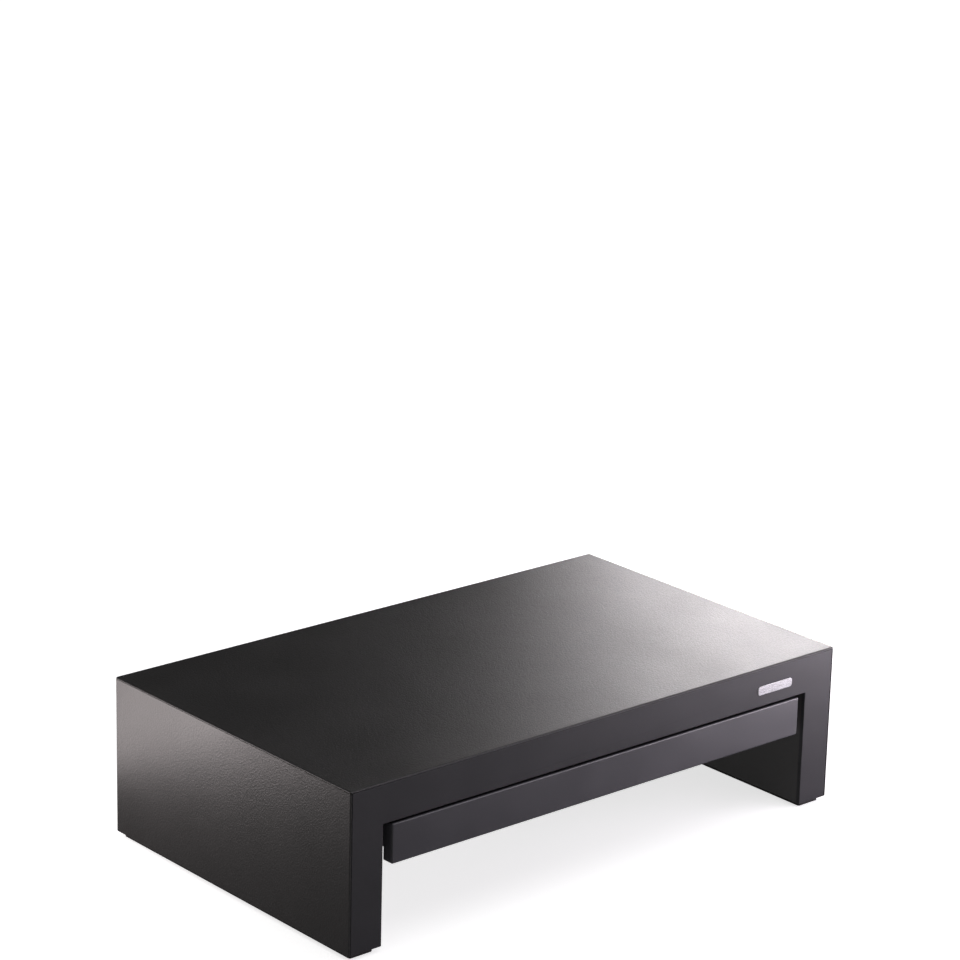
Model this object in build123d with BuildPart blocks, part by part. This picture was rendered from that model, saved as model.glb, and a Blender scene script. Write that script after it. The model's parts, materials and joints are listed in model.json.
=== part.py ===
"""Monitor riser stand: a moulded desk riser with two hollow legs and a shallow front drawer.

Millimetres. X runs to the right, Y to the back and Z up. The origin is on the floor, under the middle
of the whole stand. The drawer slides out along -Y.
"""

import os
from math import radians, tan

from build123d import *

# Overall size
WIDTH = 406.0  # over the outside of the legs
DEPTH = 238.0  # front of the fascia to the rear face
HEIGHT = 109.0  # floor to top surface
DRAWER_PROUD = 0.6  # how far the drawer front stands out of the fascia

# Layout
LEG = 25.0  # thickness of a leg
HEADER = 26.6  # height of the fascia above its opening, top surface included
REAR_HEADER = 54.0  # the same at the back, where it hides the drawer
FOOT = 3.5  # thickness of a foot strip, and how far it sits in from the leg's edges
TRAVEL = 150.0  # drawer, from closed to its stops

# Moulded walls and the seams between them
WALL = 2.8  # outer panels, fascia and rear panel
INNER_WALL = 2.5
SKIN = 3.0  # top panel
LIP = 1.0  # thin outer lip that covers the joint to the next panel
SEAM = 0.4  # width of the groove left at each joint
SEAM_DEPTH = 1.2
EDGE = 0.9  # rounding of the outer edges
SOFT_EDGE = 0.4  # rounding of the edges beside seams and under the legs
CORNER = 1.1  # rounding of the top's corners, seen from above
FIT = 0.2  # gap between mating mouldings
RIB = 2.0
RIB_DEPTH = 18.0
FLANGE_INSET = 10.0  # outer face to the flange that takes the screws
SIDE_FLANGE_INSET = 8.0  # side panel's inner face to the flange that takes its hooks
RIB_COLUMNS = 11
RIB_ROWS = 7

# Screws, bosses and posts
BOSS_R = 3.5
SHANK_R = 1.3
CLEARANCE_R = 1.7
HEAD_R = 2.8
HEAD = 2.0
RECESS = 1.2  # depth of the cross recess
RECESS_SPAN = 3.0
RECESS_SLOT = 0.8
COUNTERSINK_ANGLE = 82.0
TIP_GAP = 1.0  # left between a screw's tip and the bottom of its pilot hole
POST = 9.0  # width of the square posts that take the base plate's screws
POST_HEIGHT = 12.0
HOOK_WIDTH = 14.0
HOOK_REACH = 11.0
FOOT_CORNER = 1.8

# Drawer
DRAWER_WIDTH = 343.0
DRAWER_TOP = 81.0
DRAWER_BOTTOM = 55.0
FRONT_DEPTH = 8.0  # drawer front, face to back edge
FRONT_WALL = 2.5
FRONT_EDGE = 1.2
TRAY_WIDTH = 328.0
TRAY_TOP = 79.0
TRAY_BOTTOM = 58.0
TRAY_BACK = 88.0
TRAY_WALL = 2.0
TRAY_CORNER = 6.0
TRAY_ROOT = 1.5  # rounding between the tray's floor and its walls
FLANGE_REACH = 7.0  # the tray's side flange beyond its wall
RUNNING = 0.3  # gap between the tray and what it slides on or stops against
STOP_TAB = 8.0  # length of the tab that meets the drawer stop
STOP_TAB_TOP = 82.0
RAIL_WALL = 2.0
RAIL_LIP_TOP = 84.5
RAIL_BACK_WALL = 2.5
RAIL_REACH = 11.5  # from the leg to the tip of the rail's ledges
STOP_OUT = 2.0  # drawer stop and bumper, beyond the edge of the tray's flange
PLUG = (1.0, 4.0)  # drawer stop's plug: from and to, inside the flange's edge
BUMPER = 3.0

# Badge
BADGE_X = 149.0
BADGE_Z = 93.5
BADGE_LENGTH = 31.0
BADGE_HEIGHT = 6.0
BADGE_CORNER = 2.0
BADGE_PROUD = 0.5
BADGE_PIN_R = 1.0
BADGE_PIN_SPACING = 20.0

# Derived planes. The fascia stands back from the drawer front, so the whole is centred on Y = 0.
front = -DEPTH / 2 + DRAWER_PROUD / 2
back = front + DEPTH
middle = (front + back) / 2
drawer_face = front - DRAWER_PROUD
outer = WIDTH / 2
leg_inside = outer - LEG
side_inside = outer - WALL
inner_panel_outside = leg_inside + INNER_WALL
skin_bottom = HEIGHT - SKIN
lip_bottom = HEIGHT - LIP
rib_bottom = skin_bottom - RIB_DEPTH
header_bottom = HEIGHT - HEADER
rear_header_bottom = HEIGHT - REAR_HEADER
flange_front = front + FLANGE_INSET
flange_back = back - FLANGE_INSET
side_flange = side_inside - SIDE_FLANGE_INSET
base_top = FOOT + INNER_WALL
tray_front = drawer_face + FRONT_DEPTH
flange_edge = TRAY_WIDTH / 2 + FLANGE_REACH
rail_inside = leg_inside - RAIL_BACK_WALL
rail_tip = leg_inside - RAIL_REACH
ledge_top = TRAY_TOP - TRAY_WALL - RUNNING
rail_lip_bottom = RAIL_LIP_TOP - RAIL_WALL
rail_front = flange_front + RIB
rail_back = TRAY_BACK + RUNNING + BUMPER
stop_back = TRAY_BACK - STOP_TAB - TRAVEL - RUNNING

# Where the screws, hooks and posts go
header_xs = (-150.0, -50.0, 50.0, 150.0)
header_screw_z = 97.0
leg_screw_x = 190.0
leg_screw_zs = (20.0, 70.0)
hook_ys = (-80.0, 0.0, 80.0)
hook_z = 95.0
side_post_ys = (-85.0, 0.0, 85.0)
inner_post_ys = (-45.0, 45.0)
rail_screw_ys = (-92.0, -5.0, 75.0)
rail_screw_z = 79.6
drawer_screw_xs = (-135.0, -45.0, 45.0, 135.0)
drawer_screw_z = 68.0

SIDES = ((-1, "left"), (1, "right"))
TO_FRONT = (0, -1, 0)
TO_BACK = (0, 1, 0)
UP = (0, 0, 1)
DOWN = (0, 0, -1)
ON_FACE = (Align.CENTER, Align.CENTER, Align.MIN)
INTO_FACE = (Align.CENTER, Align.CENTER, Align.MAX)

os.makedirs("parts", exist_ok=True)


def upright(y):
    """The vertical plane at depth y, seen from the front: local axes are X and Z."""
    return Plane.XZ.offset(-y)


def rods(places, direction, radius, length, mode=Mode.ADD):
    """A cylinder from each place along the direction."""
    for place in places:
        with Locations(Plane(origin=place, z_dir=direction)):
            Cylinder(radius, length, align=ON_FACE, mode=mode)


def bosses(places, direction, length):
    """Screw bosses with pilot holes, standing on a wall at each place."""
    rods(places, direction, BOSS_R, length)
    rods(places, direction, SHANK_R, length, Mode.SUBTRACT)


def block(x_range, y_range, z_range, mode=Mode.ADD):
    """A box given by its limits along each axis."""
    spans = [sorted(limits) for limits in (x_range, y_range, z_range)]
    centre = [(low + high) / 2 for low, high in spans]
    with Locations(tuple(centre)):
        Box(*(high - low for low, high in spans), mode=mode)


def cross_recess():
    """The driver's cross in a screw head, cut down from the local origin."""
    Box(RECESS_SPAN, RECESS_SLOT, RECESS, align=INTO_FACE, mode=Mode.SUBTRACT)
    Box(RECESS_SLOT, RECESS_SPAN, RECESS, align=INTO_FACE, mode=Mode.SUBTRACT)


def pan_screws(places, direction, length):
    """Pan-head screws: each place is under the head, and the direction is the way the head faces."""
    for place in places:
        seat = Plane(origin=place, z_dir=direction)
        with Locations(seat):
            Cylinder(HEAD_R, HEAD, align=ON_FACE)
            Cylinder(SHANK_R, length, align=INTO_FACE)
        with Locations(seat.offset(HEAD)):
            cross_recess()


def header_profile(low, rise, inset):
    """Closed inverted-U outline of a front or rear panel, in the local X and Z of an upright plane."""
    edge = outer - LIP - inset
    top = lip_bottom - inset
    points = [
        (-edge, FOOT),
        (-edge, top),
        (edge, top),
        (edge, FOOT),
        (leg_inside, FOOT),
        (leg_inside, low),
        (-leg_inside, low),
        (-leg_inside, FOOT),
    ]
    with BuildSketch(upright(rise)) as outline:
        with BuildLine():
            Polyline(*points, close=True)
        make_face()
    return outline.sketch


def leg_places(y):
    """Screw places in both legs at depth y."""
    return [(side * leg_screw_x, y, z) for side, _ in SIDES for z in leg_screw_zs]


header_places = [(x, front + WALL, header_screw_z) for x in header_xs]
rear_header_places = [(x, back - WALL, header_screw_z) for x in header_xs]
boss_length = FLANGE_INSET - WALL

# ---- Top panel: a ribbed plate whose thin lip covers the tops of the panels round it ----

bay = leg_inside - FIT * 2  # the ribbed field between the two slots for the inner panels
slot_outside = inner_panel_outside + FIT * 2
rib_span = flange_back - flange_front

with BuildPart() as top_panel:
    with BuildSketch(Plane.XY.offset(lip_bottom)):
        with Locations((0, middle)):
            RectangleRounded(WIDTH, DEPTH, CORNER)
    extrude(amount=LIP)
    fillet(top_panel.faces().sort_by(Axis.Z)[-1].edges(), EDGE)
    block(
        (-side_inside + FIT, side_inside - FIT),
        (front + WALL + FIT, back - WALL - FIT),
        (skin_bottom, lip_bottom),
    )
    with BuildSketch(Plane.XY.offset(skin_bottom)):
        with Locations((0, middle)):
            with GridLocations((2 * bay - RIB) / (RIB_COLUMNS - 1), 0, RIB_COLUMNS, 1):
                Rectangle(RIB, rib_span)
            with GridLocations(0, (rib_span - RIB) / (RIB_ROWS - 1), 1, RIB_ROWS):
                Rectangle(2 * bay, RIB)
            with GridLocations(0, rib_span - RIB, 1, 2):
                Rectangle(2 * side_flange, RIB)
            with GridLocations(2 * side_flange - RIB, 0, 2, 1):
                Rectangle(RIB, rib_span)
            with GridLocations(2 * slot_outside + RIB, 0, 2, 1):
                Rectangle(RIB, rib_span)
            with GridLocations(bay + slot_outside, 0, 2, 1):
                Rectangle(slot_outside - bay, rib_span, mode=Mode.SUBTRACT)
    extrude(amount=-RIB_DEPTH)
    rods([(x, flange_front, header_screw_z) for x in header_xs], TO_BACK, CLEARANCE_R, RIB, Mode.SUBTRACT)
    rods([(x, flange_back, header_screw_z) for x in header_xs], TO_FRONT, CLEARANCE_R, RIB, Mode.SUBTRACT)
    for side, _ in SIDES:
        for y in hook_ys:
            block(
                (side * side_flange, side * (side_flange - RIB)),
                (y - HOOK_WIDTH / 2 - FIT, y + HOOK_WIDTH / 2 + FIT),
                (hook_z - FIT, hook_z + RIB + FIT),
                Mode.SUBTRACT,
            )
top_panel.part.label = "top_panel"
export_step(top_panel.part, "parts/top_panel.step")

# ---- Front fascia: the inverted U that covers the front edges ----

with BuildPart() as front_fascia:
    extrude(header_profile(header_bottom, front, SEAM), amount=-SEAM_DEPTH)
    extrude(header_profile(header_bottom, front + SEAM_DEPTH, 0), amount=-(WALL - SEAM_DEPTH))
    fillet(front_fascia.faces().sort_by(Axis.Y)[0].edges(), SOFT_EDGE)
    bosses(header_places, TO_BACK, boss_length)
    bosses(leg_places(front + WALL), TO_BACK, boss_length)
    pin_places = [(BADGE_X + end * BADGE_PIN_SPACING / 2, front, BADGE_Z) for end in (-1, 1)]
    rods(pin_places, TO_BACK, BADGE_PIN_R, WALL, Mode.SUBTRACT)
front_fascia.part.label = "front_fascia"
export_step(front_fascia.part, "parts/front_fascia.step")

# ---- Badge: a small blank plate on two pins ----

with BuildPart() as badge_plate:
    with BuildSketch(upright(front)):
        with Locations((BADGE_X, BADGE_Z)):
            RectangleRounded(BADGE_LENGTH, BADGE_HEIGHT, BADGE_CORNER)
    extrude(amount=BADGE_PROUD)
    fillet(badge_plate.faces().sort_by(Axis.Y)[0].edges(), BADGE_PROUD / 2)
    rods(pin_places, TO_BACK, BADGE_PIN_R, WALL)
badge_plate.part.label = "badge_plate"
export_step(badge_plate.part, "parts/badge_plate.step")

# ---- Rear panel: the same U with a deeper header that hides the drawer bay ----

with BuildPart() as rear_panel:
    extrude(header_profile(rear_header_bottom, back, SEAM), amount=SEAM_DEPTH)
    extrude(header_profile(rear_header_bottom, back - SEAM_DEPTH, 0), amount=WALL - SEAM_DEPTH)
    fillet(rear_panel.faces().sort_by(Axis.Y)[-1].edges(), SOFT_EDGE)
    bosses(rear_header_places, TO_FRONT, boss_length)
    bosses(leg_places(back - WALL), TO_FRONT, boss_length)
rear_panel.part.label = "rear_panel"
export_step(rear_panel.part, "parts/rear_panel.step")

# ---- Legs: outer panel, inner panel, base plate and foot strip, left and right ----

for side, name in SIDES:
    with BuildPart() as side_panel:
        with BuildSketch(Plane.XY.offset(FOOT)):
            with BuildLine():
                Polyline(
                    (side * side_inside, front + WALL),
                    (side * (outer - LIP), front + WALL),
                    (side * (outer - LIP), front),
                    (side * outer, front),
                    (side * outer, back),
                    (side * (outer - LIP), back),
                    (side * (outer - LIP), back - WALL),
                    (side * side_inside, back - WALL),
                    close=True,
                )
            make_face()
        extrude(amount=lip_bottom - FOOT)
        block(
            (side * (outer - SEAM_DEPTH), side * outer),
            (front, back),
            (lip_bottom - SEAM, lip_bottom),
            Mode.SUBTRACT,
        )
        outline = side_panel.faces().filter_by(Axis.X).sort_by(lambda face: side * face.center().X)[-1]
        fillet(outline.edges().filter_by(Axis.Z), EDGE)
        bottom_edges = side_panel.edges().group_by(Axis.Z)[0]
        fillet(bottom_edges.sort_by(lambda edge: side * edge.center().X)[-1], SOFT_EDGE)
        for y in hook_ys:
            block(
                (side * side_inside, side * (side_inside - HOOK_REACH)),
                (y - HOOK_WIDTH / 2, y + HOOK_WIDTH / 2),
                (hook_z, hook_z + RIB),
            )
        for y in side_post_ys:
            block(
                (side * side_inside, side * (side_inside - POST)),
                (y - POST / 2, y + POST / 2),
                (base_top, base_top + POST_HEIGHT),
            )
        post_places = [(side * (side_inside - POST / 2), y, base_top) for y in side_post_ys]
        rods(post_places, UP, SHANK_R, POST_HEIGHT, Mode.SUBTRACT)
    side_panel.part.label = f"{name}_side_panel"
    export_step(side_panel.part, f"parts/{name}_side_panel.step")

    with BuildPart() as inner_panel:
        block(
            (side * leg_inside, side * inner_panel_outside),
            (front + WALL, back - WALL),
            (FOOT, skin_bottom - FIT),
        )
        fillet(inner_panel.edges().group_by(Axis.Z)[0].filter_by(Axis.Y), SOFT_EDGE)
        for near, far in ((flange_front, flange_front + RIB), (flange_back - RIB, flange_back)):
            block(
                (side * inner_panel_outside, side * (leg_screw_x + 2 * BOSS_R)),
                (near, far),
                (base_top + POST_HEIGHT / 2, rib_bottom - FIT),
            )
        for y in inner_post_ys:
            block(
                (side * inner_panel_outside, side * (inner_panel_outside + POST)),
                (y - POST / 2, y + POST / 2),
                (base_top, base_top + POST_HEIGHT),
            )
        rail_boss_places = [(side * inner_panel_outside, y, rail_screw_z) for y in rail_screw_ys]
        rods(rail_boss_places, (side, 0, 0), BOSS_R, boss_length)
        rail_pilot_places = [(side * leg_inside, y, rail_screw_z) for y in rail_screw_ys]
        rods(rail_pilot_places, (side, 0, 0), SHANK_R, INNER_WALL + boss_length, Mode.SUBTRACT)
        inner_post_places = [(side * (inner_panel_outside + POST / 2), y, base_top) for y in inner_post_ys]
        rods(inner_post_places, UP, SHANK_R, POST_HEIGHT, Mode.SUBTRACT)
        leg_clearances = [(side * leg_screw_x, flange_front, z) for z in leg_screw_zs]
        rods(leg_clearances, TO_BACK, CLEARANCE_R, RIB, Mode.SUBTRACT)
        rear_clearances = [(side * leg_screw_x, flange_back, z) for z in leg_screw_zs]
        rods(rear_clearances, TO_FRONT, CLEARANCE_R, RIB, Mode.SUBTRACT)
    inner_panel.part.label = f"{name}_inner_panel"
    export_step(inner_panel.part, f"parts/{name}_inner_panel.step")

    with BuildPart() as base_plate:
        block(
            (side * (inner_panel_outside + FIT / 2), side * (side_inside - FIT / 2)),
            (front + WALL + FIT, back - WALL - FIT),
            (FOOT, base_top),
        )
        for x, y, _ in post_places + inner_post_places:
            with Locations(Plane(origin=(x, y, FOOT), z_dir=DOWN)):
                CounterSinkHole(CLEARANCE_R, HEAD_R)
    base_plate.part.label = f"{name}_base_plate"
    export_step(base_plate.part, f"parts/{name}_base_plate.step")

    with BuildPart() as foot_strip:
        with BuildSketch(Plane.XY):
            with Locations((side * (outer - LEG / 2), middle)):
                RectangleRounded(LEG - 2 * FOOT, DEPTH - 2 * FOOT, FOOT_CORNER)
        extrude(amount=FOOT)
        fillet(foot_strip.faces().sort_by(Axis.Z)[0].edges(), SOFT_EDGE)
    foot_strip.part.label = f"{name}_foot_strip"
    export_step(foot_strip.part, f"parts/{name}_foot_strip.step")

# ---- Drawer rails: a channel along each leg, with an end wall for the bumper ----

for side, name in SIDES:
    with BuildPart() as drawer_rail:
        block(
            (side * leg_inside, side * rail_inside),
            (rail_front, rail_back + RAIL_WALL),
            (ledge_top - RAIL_WALL, RAIL_LIP_TOP),
        )
        for top in (ledge_top, RAIL_LIP_TOP):
            block(
                (side * leg_inside, side * rail_tip),
                (rail_front, rail_back + RAIL_WALL),
                (top - RAIL_WALL, top),
            )
        block(
            (side * leg_inside, side * rail_tip),
            (rail_back, rail_back + RAIL_WALL),
            (ledge_top, rail_lip_bottom),
        )
        rail_hole_places = [(side * leg_inside, y, rail_screw_z) for y in rail_screw_ys]
        rods(rail_hole_places, (-side, 0, 0), CLEARANCE_R, RAIL_BACK_WALL, Mode.SUBTRACT)
        block(
            [side * (flange_edge - inset) for inset in PLUG],
            (stop_back - STOP_TAB / 2, stop_back),
            (rail_lip_bottom, RAIL_LIP_TOP),
            Mode.SUBTRACT,
        )
    drawer_rail.part.label = f"{name}_drawer_rail"
    export_step(drawer_rail.part, f"parts/{name}_drawer_rail.step")

# ---- Drawer stops and bumpers, one of each in either rail ----

with BuildPart() as drawer_stops:
    for side, _ in SIDES:
        block(
            (side * rail_tip, side * (flange_edge + STOP_OUT)),
            (stop_back - STOP_TAB, stop_back),
            (TRAY_TOP + RUNNING, rail_lip_bottom),
        )
        block(
            [side * (flange_edge - inset) for inset in PLUG],
            (stop_back - STOP_TAB / 2, stop_back),
            (rail_lip_bottom, RAIL_LIP_TOP),
        )
drawer_stops.part.label = "drawer_stops"
export_step(drawer_stops.part, "parts/drawer_stops.step")

with BuildPart() as drawer_bumpers:
    for side, _ in SIDES:
        block(
            (side * rail_tip, side * (flange_edge + STOP_OUT)),
            (rail_back - BUMPER, rail_back),
            (ledge_top, rail_lip_bottom),
        )
    fillet(drawer_bumpers.faces().group_by(Axis.Y)[0].edges(), EDGE)
drawer_bumpers.part.label = "drawer_bumpers"
export_step(drawer_bumpers.part, "parts/drawer_bumpers.step")

# ---- Drawer front: a hollow moulding, open at the back; its lower edge is the pull ----

front_middle = (DRAWER_TOP + DRAWER_BOTTOM) / 2
front_height = DRAWER_TOP - DRAWER_BOTTOM

with BuildPart() as drawer_front:
    with BuildSketch(upright(drawer_face)):
        with Locations((0, front_middle)):
            RectangleRounded(DRAWER_WIDTH, front_height, FRONT_EDGE)
    extrude(amount=-FRONT_DEPTH)
    fillet(drawer_front.faces().sort_by(Axis.Y)[0].edges(), EDGE)
    with BuildSketch(upright(tray_front)):
        with Locations((0, front_middle)):
            Rectangle(DRAWER_WIDTH - 2 * FRONT_WALL, front_height - 2 * FRONT_WALL)
    extrude(amount=FRONT_DEPTH - FRONT_WALL, mode=Mode.SUBTRACT)
    drawer_boss_places = [(x, drawer_face + FRONT_WALL, drawer_screw_z) for x in drawer_screw_xs]
    bosses(drawer_boss_places, TO_BACK, FRONT_DEPTH - FRONT_WALL - TRAY_WALL)
drawer_front.part.label = "drawer_front"
export_step(drawer_front.part, "parts/drawer_front.step")

# ---- Drawer tray: an open box whose front plate nests in the drawer front ----

tray_length = TRAY_BACK - tray_front
tray_middle = (TRAY_BACK + tray_front) / 2
tray_floor = TRAY_BOTTOM + TRAY_WALL

with BuildPart() as drawer_tray:
    with BuildSketch(Plane.XY.offset(TRAY_BOTTOM)) as footprint:
        with Locations((0, tray_middle)):
            Rectangle(TRAY_WIDTH, tray_length)
        fillet(footprint.vertices().group_by(Axis.Y)[-1], TRAY_CORNER)
    extrude(amount=TRAY_TOP - TRAY_BOTTOM)
    fillet(drawer_tray.faces().sort_by(Axis.Z)[0].edges().sort_by(Axis.Y)[1:], TRAY_ROOT)
    for side, _ in SIDES:
        block(
            (side * (TRAY_WIDTH / 2 - TRAY_CORNER), side * flange_edge),
            (tray_front, TRAY_BACK),
            (TRAY_TOP - TRAY_WALL, TRAY_TOP),
        )
        block(
            (side * rail_tip, side * flange_edge),
            (TRAY_BACK - STOP_TAB, TRAY_BACK),
            (TRAY_TOP, STOP_TAB_TOP),
        )
    block(
        (-DRAWER_WIDTH / 2 + FRONT_WALL + FIT, DRAWER_WIDTH / 2 - FRONT_WALL - FIT),
        (tray_front - TRAY_WALL, tray_front),
        (DRAWER_BOTTOM + FRONT_WALL + FIT, DRAWER_TOP - FRONT_WALL - FIT),
    )
    with BuildSketch(Plane.XY.offset(tray_floor)) as cavity:
        with Locations((0, tray_middle - TRAY_WALL / 2)):
            Rectangle(TRAY_WIDTH - 2 * TRAY_WALL, tray_length - TRAY_WALL)
        fillet(cavity.vertices().group_by(Axis.Y)[-1], TRAY_CORNER - TRAY_WALL)
        fillet(cavity.vertices().group_by(Axis.Y)[0], TRAY_WALL)
    extrude(amount=TRAY_TOP - tray_floor, mode=Mode.SUBTRACT)
    cavity_floor = drawer_tray.faces().filter_by(lambda face: abs(face.center().Z - tray_floor) < FIT)
    fillet(cavity_floor.sort_by(SortBy.AREA)[-1].edges(), TRAY_ROOT)
    screw_hole_places = [(x, tray_front, drawer_screw_z) for x in drawer_screw_xs]
    rods(screw_hole_places, TO_FRONT, CLEARANCE_R, TRAY_WALL, Mode.SUBTRACT)
drawer_tray.part.label = "drawer_tray"
export_step(drawer_tray.part, "parts/drawer_tray.step")

# ---- Screws, one group of separate solids for each joint ----

through_flange = RIB + boss_length - TIP_GAP

with BuildPart() as header_screws:
    header_seats = [(x, flange_front + RIB, header_screw_z) for x in header_xs]
    pan_screws(header_seats, TO_BACK, through_flange)
header_screws.part.label = "header_screws"
export_step(header_screws.part, "parts/header_screws.step")

with BuildPart() as rear_header_screws:
    rear_header_seats = [(x, flange_back - RIB, header_screw_z) for x in header_xs]
    pan_screws(rear_header_seats, TO_FRONT, through_flange)
rear_header_screws.part.label = "rear_header_screws"
export_step(rear_header_screws.part, "parts/rear_header_screws.step")

with BuildPart() as fascia_leg_screws:
    pan_screws(leg_places(flange_front + RIB), TO_BACK, through_flange)
fascia_leg_screws.part.label = "fascia_leg_screws"
export_step(fascia_leg_screws.part, "parts/fascia_leg_screws.step")

with BuildPart() as rear_leg_screws:
    pan_screws(leg_places(flange_back - RIB), TO_FRONT, through_flange)
rear_leg_screws.part.label = "rear_leg_screws"
export_step(rear_leg_screws.part, "parts/rear_leg_screws.step")

with BuildPart() as rail_screws:
    for side, _ in SIDES:
        rail_seats = [(side * rail_inside, y, rail_screw_z) for y in rail_screw_ys]
        pan_screws(rail_seats, (-side, 0, 0), RAIL_BACK_WALL + INNER_WALL + boss_length - TIP_GAP)
rail_screws.part.label = "rail_screws"
export_step(rail_screws.part, "parts/rail_screws.step")

with BuildPart() as drawer_front_screws:
    pan_screws(screw_hole_places, TO_BACK, FRONT_DEPTH - FRONT_WALL - RUNNING)
drawer_front_screws.part.label = "drawer_front_screws"
export_step(drawer_front_screws.part, "parts/drawer_front_screws.step")

cone_height = (HEAD_R - SHANK_R) / tan(radians(COUNTERSINK_ANGLE / 2))
side_post_x = side_inside - POST / 2
inner_post_x = inner_panel_outside + POST / 2

with BuildPart() as base_plate_screws:
    for side, _ in SIDES:
        under_side_posts = [(side * side_post_x, y, FOOT) for y in side_post_ys]
        under_inner_posts = [(side * inner_post_x, y, FOOT) for y in inner_post_ys]
        for place in under_side_posts + under_inner_posts:
            with Locations(Plane(origin=place, z_dir=DOWN)):
                Cone(SHANK_R, HEAD_R, cone_height, align=INTO_FACE)
                Cylinder(SHANK_R, INNER_WALL + POST_HEIGHT - TIP_GAP, align=INTO_FACE)
                cross_recess()
base_plate_screws.part.label = "base_plate_screws"
export_step(base_plate_screws.part, "parts/base_plate_screws.step")
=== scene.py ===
"""Looks of the monitor riser stand: procedural plastics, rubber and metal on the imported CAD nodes, a pale
floor, soft studio light and the camera. All lengths are in metres, in the CAD model's frame: +X right,
+Y back, +Z up, origin on the floor under the middle of the stand."""

import json
import math

import bmesh
import bpy
from mathutils import Matrix, Vector


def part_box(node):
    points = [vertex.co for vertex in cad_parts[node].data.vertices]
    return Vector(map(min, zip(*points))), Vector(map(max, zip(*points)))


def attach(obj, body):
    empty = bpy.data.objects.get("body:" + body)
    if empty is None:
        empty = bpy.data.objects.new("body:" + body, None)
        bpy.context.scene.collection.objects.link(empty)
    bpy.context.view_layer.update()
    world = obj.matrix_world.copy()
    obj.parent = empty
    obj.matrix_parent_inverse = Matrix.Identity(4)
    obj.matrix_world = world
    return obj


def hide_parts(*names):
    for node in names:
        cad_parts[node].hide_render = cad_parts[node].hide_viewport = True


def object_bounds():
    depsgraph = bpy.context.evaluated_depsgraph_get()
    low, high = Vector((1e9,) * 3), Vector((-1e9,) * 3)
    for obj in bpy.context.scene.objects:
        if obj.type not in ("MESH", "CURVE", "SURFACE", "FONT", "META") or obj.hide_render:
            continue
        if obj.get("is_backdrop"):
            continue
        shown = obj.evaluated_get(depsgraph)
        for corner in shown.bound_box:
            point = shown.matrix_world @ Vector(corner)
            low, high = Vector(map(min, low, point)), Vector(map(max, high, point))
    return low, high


MM = 0.001

# ---------------------------------------------------------------- camera and stage
CAMERA_PLACE = (-1.3672, -1.5584, 0.8842)
CAMERA_AZIMUTH = math.radians(41.149)  # looks towards +X and +Y
CAMERA_PITCH = math.radians(17.474)  # downwards
CAMERA_ROLL = math.radians(1.431)  # the camera's right side is turned up
CAMERA_LENS = 128.59
CAMERA_SENSOR = 36.0
CAMERA_NEAR = 0.05
CAMERA_FAR = 200.0
FLOOR_RADIUS = 40.0
FLOOR_CORNERS = 96
FLOOR_WHITE = 0.8
FLOOR_ROUGHNESS = 0.9
FLOOR_GLOW = 0.72
WORLD_TO_OTHER_RAYS = 0.0
WORLD_TO_CAMERA = 1.0

# ---------------------------------------------------------------- lights
SKY_STRENGTH = 1.4
SKY_ANGLE = math.radians(75)
SKY_HEIGHT = 2.0
WARM = (1.0, 0.95, 0.965)
ROSE = (1.0, 0.91, 0.91)
VIOLET = (1.0, 0.91, 1.02)
LEFT_FAR = 0.28  # from the left side to the point left_far
LEFT_NEAR = 0.10  # from the left side to the point left_near
BACK_DISTANCE = 1.48
WALL_DISTANCE = 0.06
FRONT_DISTANCE = 0.45
LOW_HEIGHT = 0.052  # low panels end below the top, so the top can't mirror them
LOW_TALLNESS = 0.09
PANELS = (  # name, point faced, azimuth in degrees, distance, height, width, tallness, power in watts, tint
    ("back_low", "top_right", 55, BACK_DISTANCE, 0.10, 0.18, 0.20, 10.2, WARM),
    ("back_middle", "top_right", 50, BACK_DISTANCE, 0.30, 0.18, 0.20, 2.2, WARM),
    ("back_inner", "top_right", 47, BACK_DISTANCE, 0.30, 0.20, 0.40, 1.2, WARM),
    ("back_high", "top_right", 55, BACK_DISTANCE, 0.55, 0.18, 0.20, 1.7, WARM),
    ("left_wall", "left_far", 0, WALL_DISTANCE, LOW_HEIGHT, 0.30, LOW_TALLNESS, 0.30, ROSE),
    ("left_corner", "left_near", 340, WALL_DISTANCE, LOW_HEIGHT, 0.18, LOW_TALLNESS, 0.225, ROSE),
    ("right_wide", "front_right", 140, 0.55, 0.25, 0.60, 0.45, 1.5, VIOLET),
    ("right_grazing", "right_corner", 115, FRONT_DISTANCE, LOW_HEIGHT, 0.34, LOW_TALLNESS, 2.2, VIOLET),
    ("right_floor", "right_corner", 135, FRONT_DISTANCE, LOW_HEIGHT, 0.34, LOW_TALLNESS, 1.1, VIOLET),
)

# ---------------------------------------------------------------- finishes, as the two ends of each
SHELL_COLOURS = (0.0290, 0.0281, 0.0281), (0.0240, 0.0232, 0.0232)
SHELL_ROUGHNESS = 0.31, 0.36
VALLEY_ROUGHNESS = 0.0, 0.06  # added from a pebble's crown to the valley round it
LINER_COLOURS = (0.0340, 0.0331, 0.0331), (0.0460, 0.0448, 0.0448)
LINER_ROUGHNESS = 0.50, 0.58
FASCIA_COLOURS = (0.0185, 0.0180, 0.0195), (0.0290, 0.0280, 0.0320)
FASCIA_ROUGHNESS = 0.39, 0.44
DRAWER_COLOURS = (0.0250, 0.0244, 0.0282), (0.0415, 0.0404, 0.0478)
DRAWER_ROUGHNESS = 0.36, 0.41
TRAY_COLOURS = (0.0170, 0.0170, 0.0170), (0.0220, 0.0220, 0.0220)
TRAY_ROUGHNESS = 0.44, 0.52
RAIL_COLOURS = (0.026, 0.026, 0.027), (0.034, 0.034, 0.035)
RAIL_ROUGHNESS = 0.28, 0.38
RUBBER_COLOURS = (0.013, 0.013, 0.013), (0.024, 0.023, 0.022)
RUBBER_ROUGHNESS = 0.78, 0.9
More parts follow.
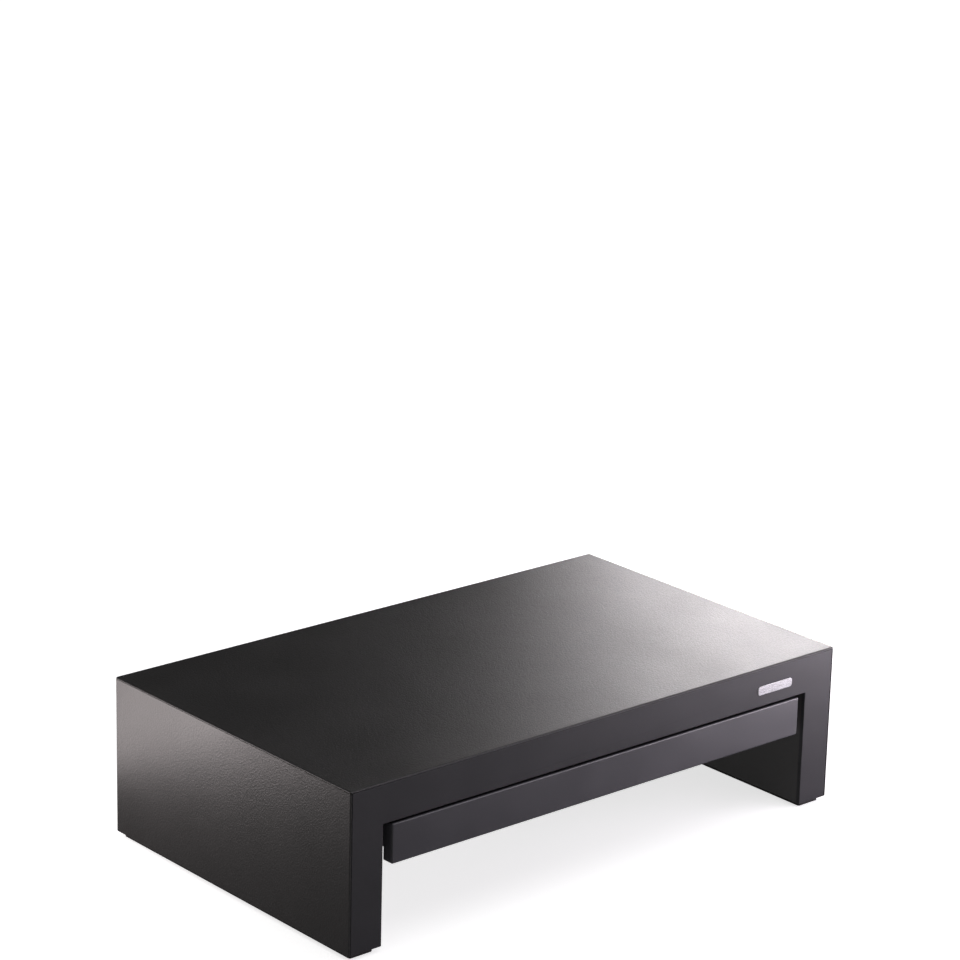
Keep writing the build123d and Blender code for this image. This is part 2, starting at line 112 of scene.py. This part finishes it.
BADGE_COLOURS = (0.60, 0.60, 0.615), (0.70, 0.70, 0.71)
BADGE_ROUGHNESS = 0.24, 0.34
SCREW_COLOURS = (0.44, 0.45, 0.47), (0.58, 0.58, 0.57)
SCREW_ROUGHNESS = 0.24, 0.40

# ---------------------------------------------------------------- sizes of the surface textures
GRAIN_PITCH = 1.05 * MM  # pebbles of the black shell
GRAIN_DEPTH = 0.06 * MM
GRAIN_SMOOTHNESS = 0.6  # how softly one pebble runs into the next
SPARK_PITCH = 0.55 * MM  # spark-eroded texture of the inner mouldings
SPARK_DEPTH = 0.03 * MM
SAND_PITCH = SPARK_PITCH * 0.8  # sand texture of the tray
SAND_DEPTH = SPARK_DEPTH * 0.7
PEARL_PITCH = 0.35 * MM  # flakes in the pearl grey
PEARL_DEPTH = 0.012 * MM
POLISH_PITCH = 0.4 * MM  # lines that the tray rubs into the rails
POLISH_DEPTH = 0.008 * MM
WAX_PITCH = 4 * MM
PIT_PITCH = 0.7 * MM  # pits in the rubber
PIT_DEPTH = 0.05 * MM
DUST_PITCH = 9 * MM
BRUSH_PITCH = 0.12 * MM  # brushing of the badge
BRUSH_DEPTH = 0.003 * MM
ZINC_CLOUD_PITCH = 1.5 * MM
ZINC_PITCH = 0.15 * MM
ZINC_DEPTH = 0.006 * MM
LINE_STRETCH = 0.02  # lengthwise scale of rubbed or brushed lines
SMUDGE_PITCH = 60 * MM  # slow change of gloss over a moulding

# ---------------------------------------------------------------- foot pads, as (inset, height) rings
PAD_CORNER = 1.8 * MM
PAD_CORNER_STEPS = 6
PAD_EDGE = 0.4 * MM  # rounding of the pad's lower edge
PAD_EDGE_STEPS = 4
RIDGE = 1.5 * MM  # width of a grip ridge's flat
GROOVE = 1.1 * MM  # width of the groove between two ridges
GROOVE_DEPTH = 0.7 * MM
GROOVE_SLOPE = 0.25 * MM
CORNER_SHARE = 0.98  # most of a half width that its corner may take
SHARP_ANGLE = math.radians(35)


def make_camera():
    """The camera at the photograph's viewing angle."""
    data = bpy.data.cameras.new("camera")
    data.lens = CAMERA_LENS
    data.sensor_width = CAMERA_SENSOR
    data.clip_start = CAMERA_NEAR
    data.clip_end = CAMERA_FAR
    camera = bpy.data.objects.new("camera", data)
    turn = Matrix.Rotation(-CAMERA_AZIMUTH, 4, "Z")
    tilt = Matrix.Rotation(math.pi / 2 - CAMERA_PITCH, 4, "X")
    roll = Matrix.Rotation(CAMERA_ROLL, 4, "Z")
    camera.matrix_world = Matrix.Translation(CAMERA_PLACE) @ turn @ tilt @ roll
    bpy.context.scene.collection.objects.link(camera)
    bpy.context.scene.camera = camera


# ---------------------------------------------------------------- materials
class Nodes:
    """A material's node tree, with short calls for the nodes that the finishes share."""

    def __init__(self, name):
        self.material = bpy.data.materials.new(name)
        self.material.use_nodes = True
        self.tree = self.material.node_tree
        self.shader = self.tree.nodes["Principled BSDF"]
        self.place = self.add("ShaderNodeTexCoord").outputs["Object"]

    def add(self, kind, **values):
        node = self.tree.nodes.new(kind)
        for key, value in values.items():
            setattr(node, key, value)
        return node

    def link(self, source, target):
        self.tree.links.new(source, target)

    def stretched(self, factors):
        """The object's coordinates, multiplied along each axis."""
        node = self.add("ShaderNodeMapping")
        node.inputs["Scale"].default_value = factors
        self.link(self.place, node.inputs["Vector"])
        return node.outputs["Vector"]

    def noise(self, pitch, detail=2.0, rough=0.5, place=None):
        node = self.add("ShaderNodeTexNoise")
        node.inputs["Scale"].default_value = 1.0 / pitch
        node.inputs["Detail"].default_value = detail
        node.inputs["Roughness"].default_value = rough
        self.link(place or self.place, node.inputs["Vector"])
        return node.outputs["Fac"]

    def cells(self, pitch):
        """Distance from the middle of each pebble, 0 there and about 1 in the valleys."""
        node = self.add("ShaderNodeTexVoronoi", feature="SMOOTH_F1")
        node.inputs["Scale"].default_value = 1.0 / pitch
        node.inputs["Smoothness"].default_value = GRAIN_SMOOTHNESS
        self.link(self.place, node.inputs["Vector"])
        return node.outputs["Distance"]

    def spread(self, value, low, high, start=0.3, end=0.7):
        """Moves a value from start..end to low..high."""
        node = self.add("ShaderNodeMapRange")
        node.inputs["From Min"].default_value = start
        node.inputs["From Max"].default_value = end
        node.inputs["To Min"].default_value = low
        node.inputs["To Max"].default_value = high
        self.link(value, node.inputs["Value"])
        return node.outputs["Result"]

    def mixed(self, value, first, second):
        """A colour between two, by value."""
        node = self.add("ShaderNodeMix", data_type="RGBA")
        node.inputs["A"].default_value = (*first, 1.0)
        node.inputs["B"].default_value = (*second, 1.0)
        self.link(value, node.inputs["Factor"])
        return node.outputs["Result"]

    def maths(self, kind, first, second):
        node = self.add("ShaderNodeMath", operation=kind)
        for socket, value in zip(node.inputs, (first, second)):
            if isinstance(value, (int, float)):
                socket.default_value = value
            else:
                self.link(value, socket)
        return node.outputs["Value"]

    def bump(self, height, depth):
        node = self.add("ShaderNodeBump")
        node.inputs["Distance"].default_value = depth
        self.link(height, node.inputs["Height"])
        return node.outputs["Normal"]

    def finish(self, colour, roughness, normal, metallic=0.0, specular=0.5):
        self.link(colour, self.shader.inputs["Base Color"])
        self.link(roughness, self.shader.inputs["Roughness"])
        self.link(normal, self.shader.inputs["Normal"])
        self.shader.inputs["Metallic"].default_value = metallic
        self.shader.inputs["Specular IOR Level"].default_value = specular
        return self.material


def shell_plastic():
    """Black plastic with a fine grain of rounded pebbles, glossier on their crowns than in the valleys."""
    n = Nodes("shell_plastic")
    pebbles = n.cells(GRAIN_PITCH)
    fine = n.noise(GRAIN_PITCH / 3, detail=2.0)
    height = n.maths("ADD", n.spread(pebbles, 1.0, 0.0, 0.0, 0.75), n.maths("MULTIPLY", fine, 0.25))
    smudges = n.noise(SMUDGE_PITCH, detail=3.0)
    valleys = n.spread(pebbles, *VALLEY_ROUGHNESS, 0.1, 0.7)
    roughness = n.maths("ADD", n.spread(smudges, *SHELL_ROUGHNESS), valleys)
    colour = n.mixed(n.spread(pebbles, 0.0, 1.0, 0.1, 0.8), *SHELL_COLOURS)
    return n.finish(colour, roughness, n.bump(height, GRAIN_DEPTH))


def liner_plastic():
    """Black plastic with the finer, sharper texture of a spark-eroded mould."""
    n = Nodes("liner_plastic")
    sparks = n.noise(SPARK_PITCH, detail=4.0, rough=0.7)
    smudges = n.noise(SMUDGE_PITCH, detail=2.0)
    colour = n.mixed(n.spread(sparks, 0.0, 1.0), *LINER_COLOURS)
    return n.finish(colour, n.spread(smudges, *LINER_ROUGHNESS), n.bump(sparks, SPARK_DEPTH))


def pearl_plastic(name, colours, roughness, specular):
    """Satin plastic with fine pearl flakes, which lighten it in specks and ripple its gloss."""
    n = Nodes(name)
    flakes = n.noise(PEARL_PITCH, detail=3.0, rough=0.65)
    clouds = n.noise(SMUDGE_PITCH / 2, detail=3.0)
    speck = n.maths("MULTIPLY", n.spread(flakes, 0.0, 1.0, 0.35, 0.75), n.spread(clouds, 0.8, 1.0))
    colour = n.mixed(speck, *colours)
    return n.finish(colour, n.spread(clouds, *roughness), n.bump(flakes, PEARL_DEPTH), specular=specular)


def fascia_plastic():
    return pearl_plastic("fascia_plastic", FASCIA_COLOURS, FASCIA_ROUGHNESS, specular=0.4)


def drawer_plastic():
    return pearl_plastic("drawer_plastic", DRAWER_COLOURS, DRAWER_ROUGHNESS, specular=0.95)


def tray_plastic():
    """Black plastic with a fine sand texture."""
    n = Nodes("tray_plastic")
    sand = n.noise(SAND_PITCH, detail=3.0, rough=0.6)
    smudges = n.noise(SMUDGE_PITCH, detail=2.0)
    colour = n.mixed(n.spread(sand, 0.0, 1.0), *TRAY_COLOURS)
    return n.finish(colour, n.spread(smudges, *TRAY_ROUGHNESS), n.bump(sand, SAND_DEPTH))


def rail_plastic():
    """Waxy black acetal, with faint lengthwise polish lines from the sliding tray."""
    n = Nodes("rail_plastic")
    lines = n.noise(POLISH_PITCH, detail=2.0, place=n.stretched((1.0, LINE_STRETCH, 1.0)))
    wax = n.noise(WAX_PITCH, detail=2.0)
    colour = n.mixed(wax, *RAIL_COLOURS)
    return n.finish(colour, n.spread(lines, *RAIL_ROUGHNESS), n.bump(lines, POLISH_DEPTH))


def foot_rubber():
    """Dull black rubber, slightly dusty and finely pitted."""
    n = Nodes("foot_rubber")
    pits = n.noise(PIT_PITCH, detail=5.0, rough=0.7)
    dust = n.noise(DUST_PITCH, detail=4.0, rough=0.6)
    colour = n.mixed(n.spread(dust, 0.0, 1.0, 0.4, 0.8), *RUBBER_COLOURS)
    return n.finish(colour, n.spread(dust, *RUBBER_ROUGHNESS), n.bump(pits, PIT_DEPTH), specular=0.3)


def badge_metal():
    """Satin silver, brushed along the plate. Short of full metal, so that it never goes black."""
    n = Nodes("badge_metal")
    lines = n.noise(BRUSH_PITCH, detail=3.0, rough=0.7, place=n.stretched((LINE_STRETCH, 1.0, 1.0)))
    colour = n.mixed(n.spread(lines, 0.0, 1.0), *BADGE_COLOURS)
    return n.finish(colour, n.spread(lines, *BADGE_ROUGHNESS), n.bump(lines, BRUSH_DEPTH), metallic=0.7)


def screw_metal():
    """Zinc plating: bright, a little cloudy."""
    n = Nodes("screw_metal")
    clouds = n.noise(ZINC_CLOUD_PITCH, detail=4.0, rough=0.6)
    fine = n.noise(ZINC_PITCH, detail=2.0)
    colour = n.mixed(n.spread(clouds, 0.0, 1.0), *SCREW_COLOURS)
    return n.finish(colour, n.spread(clouds, *SCREW_ROUGHNESS), n.bump(fine, ZINC_DEPTH), metallic=1.0)


MATERIAL_OF_SLOT = {
    "shell": shell_plastic,
    "liner": liner_plastic,
    "fascia": fascia_plastic,
    "drawer_face": drawer_plastic,
    "tray": tray_plastic,
    "rail": rail_plastic,
    "foot_rubber": foot_rubber,
    "badge": badge_metal,
    "screw": screw_metal,
}


def dress_nodes(frame):
    """Gives each CAD node the material of its slot in the record."""
    made = {slot: build() for slot, build in MATERIAL_OF_SLOT.items()}
    for part in frame["record"]["subparts"]:
        node = frame["nodes"][part["node"]]
        for holder in node.material_slots:
            holder.material = made[part["material_slot"]]
    return made


# ---------------------------------------------------------------- pieces made here
def rounded_outline(centre, half_x, half_y, corner, height):
    """Points of a rounded rectangle at one height, anticlockwise."""
    corner = min(corner, half_x * CORNER_SHARE, half_y * CORNER_SHARE)
    points = []
    for quarter in range(4):
        turn = quarter * math.pi / 2
        side_x = 1 if quarter in (0, 3) else -1
        side_y = 1 if quarter in (0, 1) else -1
        middle_x = centre.x + side_x * (half_x - corner)
        middle_y = centre.y + side_y * (half_y - corner)
        for step in range(PAD_CORNER_STEPS + 1):
            angle = turn + step / PAD_CORNER_STEPS * math.pi / 2
            points.append((middle_x + corner * math.cos(angle), middle_y + corner * math.sin(angle), height))
    return points


def pad_profile(top, half_width):
    """Rings of a foot pad from its rim down: straight side, rounded edge, then ridges to the middle."""
    rings = [(0.0, top)]
    for step in range(PAD_EDGE_STEPS + 1):
        angle = step / PAD_EDGE_STEPS * math.pi / 2
        rings.append((PAD_EDGE * (1 - math.cos(angle)), PAD_EDGE * (1 - math.sin(angle))))
    inset = PAD_EDGE + RIDGE
    while inset + GROOVE + 2 * GROOVE_SLOPE + RIDGE / 2 < half_width:
        rings += [
            (inset, 0.0),
            (inset + GROOVE_SLOPE, GROOVE_DEPTH),
            (inset + GROOVE_SLOPE + GROOVE, GROOVE_DEPTH),
            (inset + 2 * GROOVE_SLOPE + GROOVE, 0.0),
        ]
        inset += 2 * GROOVE_SLOPE + GROOVE + RIDGE
    return rings


def ribbed_pad(node, body, material):
    """A rubber foot pad in the place of a plain CAD strip: the same outline, with grip ridges underneath."""
    low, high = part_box(node)
    centre = (low + high) / 2
    half_x, half_y = (high.x - low.x) / 2, (high.y - low.y) / 2
    outlines = []
    for inset, height in pad_profile(high.z - low.z, half_x):
        corner = max(PAD_CORNER - inset, PAD_EDGE)
        outlines.append(rounded_outline(centre, half_x - inset, half_y - inset, corner, low.z + height))
    count = len(outlines[0])
    faces = [tuple(range(count))]
    for ring in range(len(outlines) - 1):
        for i in range(count):
            j = (i + 1) % count
            a, b = ring * count, (ring + 1) * count
            faces.append((a + i, b + i, b + j, a + j))
    last = (len(outlines) - 1) * count
    faces.append(tuple(last + i for i in reversed(range(count))))
    mesh = bpy.data.meshes.new(node + "_pad")
    mesh.from_pydata([point for outline in outlines for point in outline], [], faces)
    shade_by_angle(mesh)
    pad = bpy.data.objects.new(node + "_pad", mesh)
    bpy.context.scene.collection.objects.link(pad)
    mesh.materials.append(material)
    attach(pad, body)
    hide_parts(node)


def shade_by_angle(mesh):
    """Smooth shading, except across edges sharper than SHARP_ANGLE."""
    shape = bmesh.new()
    shape.from_mesh(mesh)
    for face in shape.faces:
        face.smooth = True
    for edge in shape.edges:
        edge.smooth = edge.calc_face_angle(0.0) < SHARP_ANGLE
    shape.to_mesh(mesh)
    shape.free()


# ---------------------------------------------------------------- stage and light
def make_floor():
    """A wide round pale floor. Most of its brightness is its own glow, which keeps it even and white."""
    angles = [math.tau * i / FLOOR_CORNERS for i in range(FLOOR_CORNERS)]
    rim = [(FLOOR_RADIUS * math.cos(angle), FLOOR_RADIUS * math.sin(angle), 0) for angle in angles]
    mesh = bpy.data.meshes.new("floor")
    mesh.from_pydata(rim, [], [range(FLOOR_CORNERS)])
    floor = bpy.data.objects.new("floor", mesh)
    bpy.context.scene.collection.objects.link(floor)
    material = bpy.data.materials.new("floor_paint")
    material.use_nodes = True
    shader = material.node_tree.nodes["Principled BSDF"]
    shader.inputs["Base Color"].default_value = (FLOOR_WHITE,) * 3 + (1.0,)
    shader.inputs["Roughness"].default_value = FLOOR_ROUGHNESS
    shader.inputs["Specular IOR Level"].default_value = 0.0
    shader.inputs["Emission Color"].default_value = (1.0, 1.0, 1.0, 1.0)
    shader.inputs["Emission Strength"].default_value = FLOOR_GLOW
    mesh.materials.append(material)
    floor.visible_glossy = False
    floor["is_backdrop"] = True


def make_world():
    """A world that is white to the camera and black to every other ray, like a studio with black flags."""
    world = bpy.data.worlds.new("studio")
    world.use_nodes = True
    bpy.context.scene.world = world
    tree = world.node_tree
    background = tree.nodes["Background"]
    path = tree.nodes.new("ShaderNodeLightPath")
    seen = tree.nodes.new("ShaderNodeMix")
    seen.data_type = "RGBA"
    seen.inputs["A"].default_value = (WORLD_TO_OTHER_RAYS,) * 3 + (1.0,)
    seen.inputs["B"].default_value = (WORLD_TO_CAMERA,) * 3 + (1.0,)
    tree.links.new(path.outputs["Is Camera Ray"], seen.inputs["Factor"])
    tree.links.new(seen.outputs["Result"], background.inputs["Color"])


def softbox(name, aim, azimuth, distance, height, width, tallness, power, tint):
    """A rectangular light that faces a point. Azimuth 0 is behind that point (+Y), 90 to its right (+X)."""
    target = Vector(aim)
    angle = math.radians(azimuth)
    place = Vector((target.x + math.sin(angle) * distance, target.y + math.cos(angle) * distance, height))
    data = bpy.data.lights.new(name, "AREA")
    data.shape = "RECTANGLE"
    data.size = width
    data.size_y = tallness
    data.energy = power
    data.color = tint
    light = bpy.data.objects.new(name, data)
    light.location = place
    light.rotation_mode = "QUATERNION"
    light.rotation_quaternion = (place - target).to_track_quat("Z", "Y")
    light.visible_camera = False
    bpy.context.scene.collection.objects.link(light)


def soft_sky():
    """Even, nearly shadowless light from above."""
    data = bpy.data.lights.new("sky", "SUN")
    data.energy = SKY_STRENGTH
    data.angle = SKY_ANGLE
    light = bpy.data.objects.new("sky", data)
    light.location = (0, 0, SKY_HEIGHT)
    bpy.context.scene.collection.objects.link(light)


def make_lights():
    """A soft sky and the panels. The back panels make the top's bright right end, the left ones the left
    side's bright back corner, and the right ones the front's gradient. Of the left and right ones, only
    right_wide reaches above the top."""
    low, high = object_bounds()
    middle = (low.z + high.z) / 2
    points = {
        "top_right": (high.x / 4, 0.0, high.z),
        "left_far": (low.x - LEFT_FAR, high.y, middle),
        "left_near": (low.x - LEFT_NEAR, high.y, middle),
        "front_right": (high.x / 2, low.y, middle),
        "right_corner": (high.x, low.y, LOW_HEIGHT),
    }
    soft_sky()
    for name, point, *settings in PANELS:
        softbox(name, points[point], *settings)


# ---------------------------------------------------------------- the scene
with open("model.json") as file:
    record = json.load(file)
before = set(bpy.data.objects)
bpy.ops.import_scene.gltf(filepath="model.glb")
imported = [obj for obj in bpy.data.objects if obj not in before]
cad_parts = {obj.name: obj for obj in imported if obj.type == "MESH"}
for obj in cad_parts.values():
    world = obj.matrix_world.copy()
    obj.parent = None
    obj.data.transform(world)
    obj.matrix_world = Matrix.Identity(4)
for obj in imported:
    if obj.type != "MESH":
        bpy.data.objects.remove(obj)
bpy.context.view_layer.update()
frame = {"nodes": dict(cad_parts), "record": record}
make_camera()
materials = dress_nodes(frame)
for side in ("left", "right"):
    ribbed_pad(f"{side}_foot_strip", "riser", materials["foot_rubber"])
make_floor()
make_world()
make_lights()
bpy.context.scene.view_settings.view_transform = "Standard"
